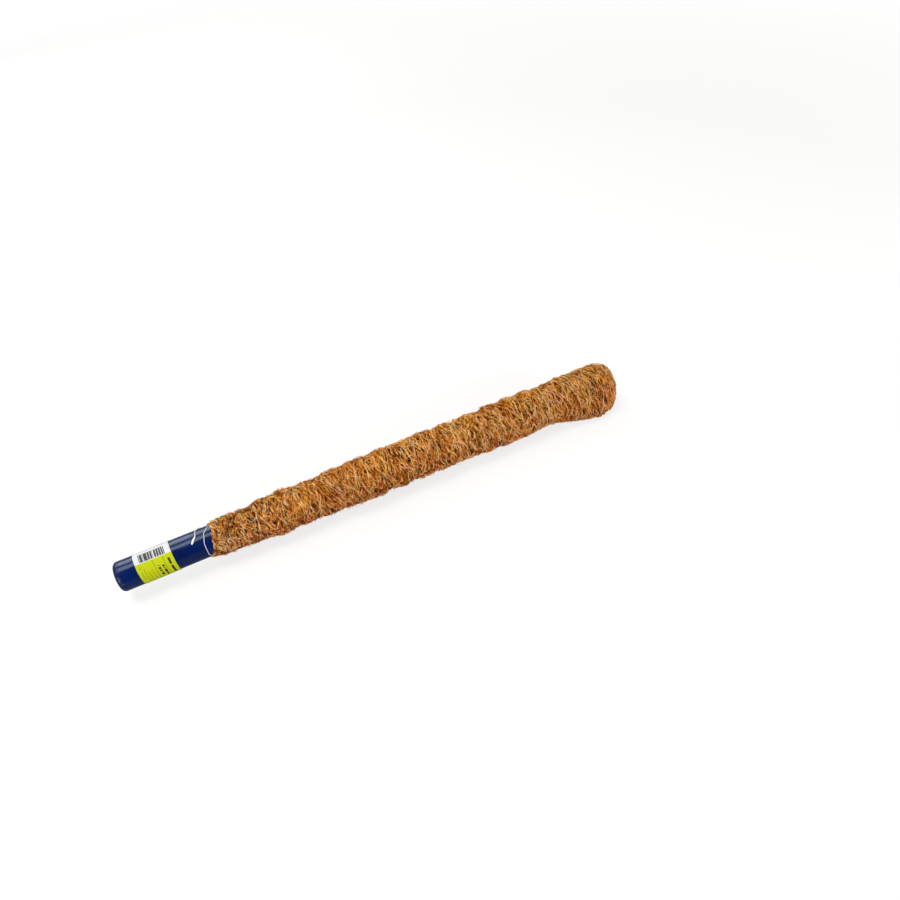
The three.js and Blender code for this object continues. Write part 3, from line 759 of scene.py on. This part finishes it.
def wadFace(across, up):  # x of the tousled face, which runs out over the sleeve's rim
    spot = Vector((across, up, 0)) / wadMake["lumpSize"]
    rho = math.hypot(across, up)
    lump = wadMake["lump"] * (noise.noise(spot) * wadMake["lumpGain"] - wadMake["lumpSink"])
    lump = min(wadMake["lumpTop"], lump) * (1 - smooth(rho, wadMake["lumpWithin"] * wadRadius, wadRadius))
    drop = wadMake["rimDrop"] * smooth(rho, wadRadius + wadMake["rimFrom"], wadReach)
    return wadHigh.x - wadMake["inset"] + lump - drop


profile = [(wadLow.x, 0), (wadLow.x, wadRadius)]
for i in range(wadMake["rings"] + 1):
    out = 1 - i / wadMake["rings"]
    profile.append((wadHigh.x - wadMake["under"] - wadMake["crown"] * out ** 2, wadRadius * out))
wad = turnedPiece("coirWad", profile, wadMake["sides"])
# the wad's body takes the same dark brown, partly painted shade
dressPiece(wad, packedCoirPaintedGapShade, "coir_end_wad")
wadFibres = []
for i in range(wadMake["count"]):
    rho = wadReach * math.sqrt(dice.random())
    around = dice.uniform(0, 2 * math.pi)
    across, up = rho * math.cos(around), rho * math.sin(around)
    curled = dice.random() < wadMake["curled"]  # most of them curl round the mouth
    spread = wadMake["curlSpread" if curled else "wildSpread"]
    heading = around + math.pi / 2 + dice.gauss(0, spread)
    length = dice.uniform(*wadMake["length"]) * mm
    share = dice.random()
    points = []
    for j in range(wadMake["points"]):
        rho = math.hypot(across, up)
        if rho > wadReach:
            across, up = across * wadReach / rho, up * wadReach / rho
        tuck = wadMake["tuck"] * (2 * j / (wadMake["points"] - 1) - 1) ** 4
        atRim = smooth(rho, wadMake["shallowFrom"] * wadRadius, wadRadius)
        sunk = wadMake["deep"] * (1 - share) * (1 - wadMake["shallow"] * atRim)
        points.append(Vector((wadFace(across, up) - sunk - tuck, -across, axisHeight + up)))
        heading += dice.gauss(*wadMake["bend"])
        across += math.cos(heading) * length / (wadMake["points"] - 1)
        up += math.sin(heading) * length / (wadMake["points"] - 1)
    thick = dice.uniform(*wadMake["radius"]) * mm
    radii = [thick * (1 - wadMake["taper"] * abs(2 * j / (wadMake["points"] - 1) - 1) ** 3)
             for j in range(wadMake["points"])]
    # deeper wad fibres get a darker tint, a painted shade
    tint = dice.gauss(*dice.choice(wadMake["tints"])) + fibreMake["paintedDepthShade"] * (share - 0.5)
    wadFibres.append((points, radii, min(1, max(0, tint)), int(dice.random() < wadMake["russet"])))
fibrePiece("coirWadFibre", wadFibres, "coir_end_wad")
print("end wad made")

# Binding thread: free end and a turn on the bare pipe, turns at the coir's edge, up the body and at the neck
threadMake = {
    "radius": 0.3 * mm, "bodyRadius": 0.22 * mm, "thinFrom": -0.19, "thinTo": -0.17, "pipeGap": 0.1 * mm,
    "perTurn": 48, "firstTurn": 4 / 24, "start": -0.2205,
    "freeEnd": [2.6, 4.4, 3.8, 2.6, 1.6],  # a blob of melted thread, in its radii
    "stretches": [(0.25, 72), (1.0, 4.5), (2.0, 4), (13.6607, 28), (2.5, 5)],  # turns and mm of pitch
    "looseRing": [(0.16, -1.9), (0.235, -1.7), (0.336, -6.8), (0.45, -8), (0.75, -5), (0.92, -6.5), (1.0, -11.4),
                  (1.117, -11.6), (1.225, -9.6), (1.28, -6), (1.36, 0), (1.42, 0)],  # turns and mm slipped
    "edgeTurn": 1.4, "slantFrom": 5 * mm, "slantTo": 40 * mm, "edgeRun": 1.5 * mm,
    "sunk": 0.3 * mm, "weave": 1.1 * mm, "weaveSize": 9 * mm, "white": "#F6F5F3", "straw": "#DDB98A",
    "dust": 7 * mm, "dustFrom": -0.203, "dustTo": -0.19,
}
threadTurns = sum(turns for turns, pitch in threadMake["stretches"])
points, radii = [], []
steps = round(threadTurns * threadMake["perTurn"])
for i in range(steps + 1):
    left = i / threadMake["perTurn"]
    turn = threadMake["firstTurn"] + left
    x = threadMake["start"]
    for turns, pitch in threadMake["stretches"]:
        x += min(left, turns) * pitch * mm
        left -= min(left, turns)
    for (low, sagLow), (high, sagHigh) in zip(threadMake["looseRing"], threadMake["looseRing"][1:]):
        if low < turn <= high:
            x += (sagLow + (sagHigh - sagLow) * smooth(turn, low, high)) * mm
    if turn > threadMake["edgeTurn"]:  # along the slant of the coir's edge
        slant = edgePlace(turn) - coirLow.x
        x += slant * (1 - smooth(x - coirLow.x, threadMake["slantFrom"], threadMake["slantTo"]))
    onCoir = smooth(x - edgePlace(turn), -threadMake["edgeRun"], threadMake["edgeRun"])
    thinner = smooth(x, threadMake["thinFrom"], threadMake["thinTo"])
    thick = threadMake["radius"] + (threadMake["bodyRadius"] - threadMake["radius"]) * thinner
    radius = pipeRadius + thick + threadMake["pipeGap"]
    spot = onPole(x, radius, turn) / threadMake["weaveSize"]
    weave = threadMake["weave"] * noise.noise(spot) * 2  # over some fibres, under others
    radius += max(0, coirSurface(x, turn) - threadMake["sunk"] + weave - radius) * onCoir
    points.append(offFloor(onPole(x, radius, turn), coirMake["floorGap"] + thick))
    radii.append(thick * (threadMake["freeEnd"][i] if i < len(threadMake["freeEnd"]) else 1))
thread = bpy.data.objects.new("nylonThread", strandMesh("nylonThread", [(points, radii)], 1, True))
scene.collection.objects.link(thread)

nylon, tree, shader = newMaterial("Nylon thread")  # milky monofilament, a soft shine, dusty in the coir
where = addNode(tree, "ShaderNodeTexCoord").outputs["Object"]
dust = addNode(tree, "ShaderNodeTexNoise", {}, {"Vector": where, "Scale": 1 / threadMake["dust"], "Detail": 3})
parts = addNode(tree, "ShaderNodeSeparateXYZ", {}, {"Vector": where})
inCoir = addNode(tree, "ShaderNodeMapRange", {}, {
    "Value": parts.outputs["X"], "From Min": threadMake["dustFrom"], "From Max": threadMake["dustTo"]})
settled = addNode(tree, "ShaderNodeMapRange", {},
                  {"Value": dust.outputs["Fac"], "From Min": 0.3, "From Max": 0.5, "To Min": 0.6})
dusty = addNode(tree, "ShaderNodeMath", {"operation": "MULTIPLY"},
                {0: inCoir.outputs[0], 1: settled.outputs[0]})
colour = addNode(tree, "ShaderNodeMix", {"data_type": "RGBA"},
                 {0: dusty.outputs[0], 6: linear(threadMake["white"]), 7: linear(threadMake["straw"])})
tree.links.new(colour.outputs[2], shader.inputs["Base Color"])
gloss = addNode(tree, "ShaderNodeMapRange", {}, {"Value": dust.outputs["Fac"], "To Min": 0.25, "To Max": 0.5})
tree.links.new(gloss.outputs[0], shader.inputs["Roughness"])
shader.inputs["IOR"].default_value = 1.53
dressPiece(thread, nylon, "binding_thread")
print("thread made")
